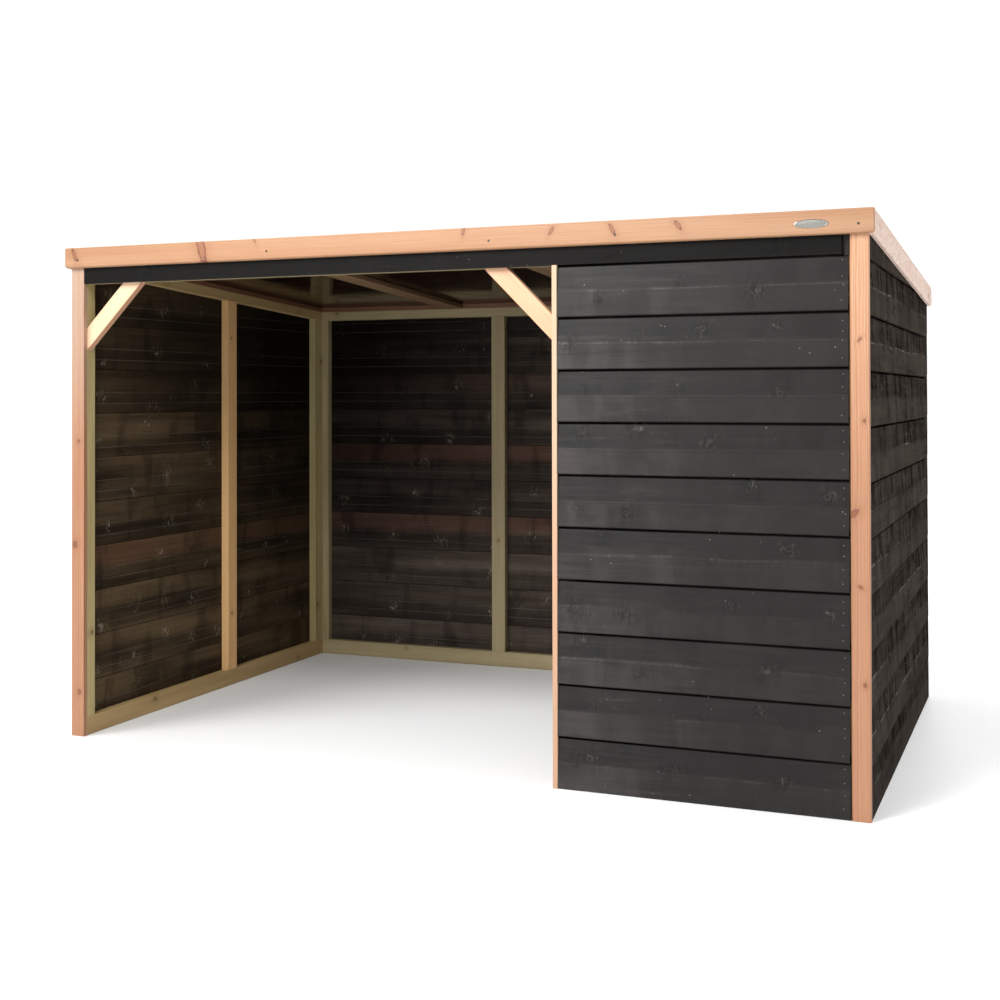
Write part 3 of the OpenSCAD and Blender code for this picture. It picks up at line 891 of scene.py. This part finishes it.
def weatherboardTree():
    tree, given, result = newTree("weatherboards", {
        "Profile": "Object", "Length": "Float", "Boards": "Int", "Exposure": "Float",
        "Segments": "Int", "End play": "Float", "Bow": "Float", "Seed": "Int", "Material": "Material"})
    outline = outOf(tree, "GeometryNodeMeshToCurve", {"Mesh": shapeOf(tree, given["Profile"])})
    run = outOf(tree, "GeometryNodeCurvePrimitiveLine", {"End": vector(tree, {0: given["Length"]})})
    run = outOf(tree, "GeometryNodeResampleCurve", {"Curve": run, "Count": given["Segments"]})
    board = outOf(tree, "GeometryNodeCurveToMesh",
                  {"Curve": run, "Profile Curve": outline, "Fill Caps": True})
    lift = vector(tree, {2: given["Exposure"]})
    courses = outOf(tree, "GeometryNodeMeshLine", {"Count": given["Boards"], "Offset": lift})
    # a board may be a little shorter than the wall
    short = calc(tree, "SUBTRACT", 1.0, calc(tree, "DIVIDE", given["End play"], given["Length"]))
    play = node(tree, "FunctionNodeRandomValue",
                {"Min": vector(tree, {0: short, 1: 1.0, 2: 1.0}), "Max": (1, 1, 1),
                 "Seed": given["Seed"]}, data_type="FLOAT_VECTOR").outputs["Value"]
    boards = outOf(tree, "GeometryNodeInstanceOnPoints",
                   {"Points": courses, "Instance": board, "Scale": play})
    count = outOf(tree, "GeometryNodeInputIndex")
    named = outOf(tree, "GeometryNodeStoreNamedAttribute",
                  {"Geometry": boards, "Name": "course", "Value": count},
                  data_type="FLOAT", domain="INSTANCE")
    whole = outOf(tree, "GeometryNodeRealizeInstances", {"Geometry": named})
    # and is not quite straight
    course = node(tree, "GeometryNodeInputNamedAttribute", {"Name": "course"}, data_type="FLOAT")
    course = timesPlus(tree, course.outputs["Attribute"], 7.3, given["Seed"])
    where = stretched(tree, outOf(tree, "GeometryNodeInputPosition"), (1.4, 0, 0))
    wave = outOf(tree, "ShaderNodeTexNoise", {"Vector": where, "W": course, "Scale": 1.0,
                                              "Detail": 1.0}, noise_dimensions="4D")
    out = times(tree, calc(tree, "SUBTRACT", wave, 0.5), given["Bow"])
    move = vector(tree, {1: out, 2: times(tree, out, 0.7)})
    bent = outOf(tree, "GeometryNodeSetPosition", {"Geometry": whole, "Offset": move})
    return closeTree(tree, bent, given["Material"], result)


boardTree = weatherboardTree()
frontFinish = stainedFace("stainedFace", stainLook)
sideFinish = stainedFace("stainedSide", sideLook)
plainFinish = stainedFace("stainedPlain", plainLook)
headerFinish = stainedFace("stainedHeader", headerLook, twoSlopes=False)
stripFinish = stainedFace("stainedStrip", stainLook, twoSlopes=False)
backFinish = stainedBack("stainedBack", boardShape["grooves"], backLook)
rearFinish = stainedBack("stainedRear", boardShape["grooves"], rearLook)
outlineMesh = bpy.data.meshes.new("boardOutline")
outline = [(out, -height, 0) for out, height in boardProfile(boardShape)]
outlineMesh.from_pydata(outline, [(k, (k + 1) % len(outline)) for k in range(len(outline))], [])
outlineObject = newObject("boardOutline", outlineMesh)


def boardWall(name, nodeName, turn, seed, outer, inner, top=None, drop=0.0):
    # drop is how far the lowest course starts below the ground line, where it is cut off; the
    # boards end at the given height, or else along the roof
    low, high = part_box(nodeName)
    roof = (Vector((0, 0, top)), upright) if top else (Vector((0, low.y, high.z)), slopeNormal)
    high.z = top or high.z
    low.z = -drop
    size = high - low
    length = size.x if turn in (0, 180) else size.y
    mesh = grown(boardTree, name, {
        "Profile": outlineObject, "Length": length, "Exposure": boardShape["exposure"],
        "Boards": math.ceil(round(size.z / boardShape["exposure"], 3)),
        "Segments": int(length / boardShape["step"]) + 1, "End play": boardShape["endPlay"],
        "Bow": boardShape["bow"], "Seed": seed, "Material": outer})
    corner = (low.x if turn < 180 else high.x, low.y if turn in (90, 180) else high.y)
    mesh.shade_flat()
    mesh.materials.clear()
    mesh.transform(Matrix.Translation((*corner, -drop)) @ Matrix.Rotation(math.radians(turn), 4, "Z"))
    work = bmesh.new()
    work.from_mesh(mesh)
    bmesh.ops.remove_doubles(work, verts=work.verts, dist=cutting["joins"])
    for place, normal in (roof, (Vector((0, 0, 0)), -upright)):
        cutOff(work, place, normal)
    bmesh.ops.recalc_face_normals(work, faces=work.faces)
    outward = toFront.copy()
    outward.rotate(Matrix.Rotation(math.radians(turn), 3, "Z"))
    for face in work.faces:
        face.material_index = 1 if face.normal.dot(outward) < -0.9 else 0
    work.to_mesh(mesh)
    work.free()
    layFigure(mesh, alongX if turn in (0, 180) else alongY, seed, perMetre=3.5, size=0.007,
              flatSawn=(0.02, 0.06))
    return addPiece(name, mesh, [outer, inner], [nodeName])


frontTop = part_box("jamb_board")[1].z
walls = (boardWall("frontBoards", "front_cladding", 0, 3, frontFinish, backFinish, top=frontTop),
         boardWall("rightBoards", "right_cladding", 90, 5, sideFinish, backFinish, drop=0.011),
         boardWall("backBoards", "back_cladding", 180, 7, plainFinish, rearFinish),
         boardWall("leftBoards", "left_cladding", 270, 9, plainFinish, backFinish))
bpy.data.objects.remove(outlineObject)


def endStrip():
    # the top board runs on beside the end of the header board
    strip = dict(gap=0.002, easing=0.0008, step=0.03)
    headerLow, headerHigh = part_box("header_board")
    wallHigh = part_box("front_cladding")[1]
    low = Vector((headerHigh.x + strip["gap"], wallHigh.y - boardShape["tip"],
                  frontTop - boardShape["slot"]))
    high = Vector((wallHigh.x, wallHigh.y, headerHigh.z))
    work = bmesh.new()
    bmesh.ops.create_cube(work, size=1)
    for vertex in work.verts:
        vertex.co = Vector([(low, high)[part > 0][k] for k, part in enumerate(vertex.co)])
    cutOff(work, Vector((0, headerLow.y, headerHigh.z)), slopeNormal)
    bmesh.ops.bevel(work, geom=work.edges[:], offset=strip["easing"], segments=1, affect="EDGES")
    cutLengths(work, upright, strip["step"])
    bmesh.ops.recalc_face_normals(work, faces=work.faces)
    mesh = meshFrom(work, "boardEndStrip")
    layFigure(mesh, alongX, 15, knots=[])
    addPiece("boardEndStrip", mesh, [stripFinish])


def nailSpots(wall, outward, columns, rises):
    # where a nail driven straight in meets the boards; a column is a place along the wall, and
    # each board is nailed at the same heights in it
    tree = BVHTree.FromPolygons([vertex.co for vertex in wall.data.vertices],
                                [face.vertices for face in wall.data.polygons])
    along = Vector((abs(outward.y), abs(outward.x), 0))
    heights = [course * boardShape["exposure"] + rise for course in range(nailing["courses"])
               for rise in rises]
    rng = random.Random(len(columns))
    spots = []
    for column in columns:
        for height in heights:
            aside = rng.uniform(-nailing["aside"], nailing["aside"])
            up = rng.uniform(-nailing["up"], nailing["up"])
            place = along * (column + aside) + upright * (height + up) + outward * nailing["away"]
            hit = tree.ray_cast(place, -outward)[0]
            if hit:
                spots.append(hit)
    return spots


def studMiddles(side, studs, axis):
    return [sum(corner[axis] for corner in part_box(side + "_" + stud)) / 2 for stud in studs]


endStrip()
nailing = dict(courses=11, aside=0.003, up=0.007, away=3, fromEnd=0.02, rises=(0.035, 0.120))
sideStuds = ("front_stud", "middle_stud", "rear_stud")
backStuds = ("stud_1", "stud_2", "stud_3", "stud_4")
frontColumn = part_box("front_cladding")[1].x - nailing["fromEnd"]
nailed = dict(
    frontNails=(walls[0], toFront, (frontColumn,), (0.028, 0.078, 0.112, 0.150)),
    rightNails=(walls[1], alongX, studMiddles("right", sideStuds, 1), nailing["rises"]),
    leftNails=(walls[3], Vector((-1, 0, 0)), studMiddles("left", sideStuds, 1), nailing["rises"]),
    backNails=(walls[2], alongY, studMiddles("back", backStuds, 0), nailing["rises"]),
)
for count, (name, (wall, facing, columns, rises)) in enumerate(nailed.items()):
    spots = nailSpots(wall, facing, columns, rises)
    addPiece(name, setHeads(name, "nail", spots, facing, count, nailFinish))
timberPiece("headerBoard", alongX, headerFinish, "black_boards", 12)
print("weatherboards done")

for nodeName, finish in (("roof_deck", filmFinish()), ("roof_membrane", membraneFinish())):
    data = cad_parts[nodeName].data
    data.materials.clear()
    data.materials.append(finish)


# floor, light and camera

def stage():
    mesh = bpy.data.meshes.new("floor")
    half = 40
    below = -0.001
    corners = [(-half, -half, below), (half, -half, below), (half, half, below), (-half, half, below)]
    mesh.from_pydata(corners, [], [(0, 1, 2, 3)])
    material, tree = newMaterial("floorPaint", 0.7)
    cloud = noise(tree, ownPlace(tree), (0.8, 0.8, 0.8), 2)
    mesh.materials.append(dressed(material, mixed(tree, cloud, (242, 242, 242), (247, 247, 247))))
    newObject("floor", mesh)


def addWorld(light, seen):
    # white all round, weaker as light than it looks
    world = bpy.data.worlds.new("studio")
    world.use_nodes = True
    tree = world.node_tree
    lit, shown = (node(tree, "ShaderNodeBackground", {"Color": (1, 1, 1, 1), "Strength": strength})
                  for strength in (light, seen))
    straight = node(tree, "ShaderNodeLightPath").outputs["Is Camera Ray"]
    both = node(tree, "ShaderNodeMixShader", {0: straight, 1: lit.outputs[0], 2: shown.outputs[0]})
    tree.links.new(both.outputs[0], tree.nodes["World Output"].inputs["Surface"])
    scene.world = world
    scene.view_settings.view_transform = "Standard"


softLights = dict(
    key=dict(kind="AREA", place=(-0.5, -3.2, 3.8), aim=(0.0, 0, 1.4), size=2.0, power=120),
    glow=dict(kind="AREA", place=(-2.0, -5.2, 1.9), aim=(0.6, -0.9, 1.2), size=1.2, power=25),
    side=dict(kind="AREA", place=(3.3, 0.6, 3.2), aim=(3.3, 0.6, 0), size=2.0, power=11),
    sun=dict(kind="SUN", place=(-4.0, -5.5, 4.9), aim=(0, 0, 0), size=0.6, power=2.0),
    fill=dict(kind="SUN", place=(0.6, 6, 5.2), aim=(0, 0, 0), size=0.5, power=2.1),
)


def addLights():
    for name, light in softLights.items():
        data = bpy.data.lights.new(name, light["kind"])
        data.energy = light["power"]
        if light["kind"] == "SUN":
            data.angle = light["size"]
        else:
            data.shape = "DISK"
            data.size = light["size"]
        lamp = newObject(name, data)
        lamp.location = light["place"]
        aim = Vector(light["aim"]) - Vector(light["place"])
        lamp.rotation_euler = aim.to_track_quat("-Z", "Y").to_euler()


cameraView = dict(place=(2.084, -5.117, 1.315), heading=21.02, tilt=0.49, roll=-0.14, lens=48.24,
                  shiftX=-0.0506, shiftY=-0.1166)


def addCamera(view):
    data = bpy.data.cameras.new("camera")
    data.sensor_width = 36
    data.lens = view["lens"]
    data.shift_x = view["shiftX"]
    data.shift_y = view["shiftY"]
    data.clip_end = 200
    camera = newObject("camera", data)
    turn = (Matrix.Rotation(math.radians(view["heading"]), 4, "Z")
            @ Matrix.Rotation(math.radians(90 + view["tilt"]), 4, "X")
            @ Matrix.Rotation(math.radians(view["roll"]), 4, "Z"))
    camera.matrix_world = Matrix.Translation(view["place"]) @ turn
    scene.camera = camera


stage()
addWorld(light=0.62, seen=1.1)
addLights()
addCamera(cameraView)
print("stage done")
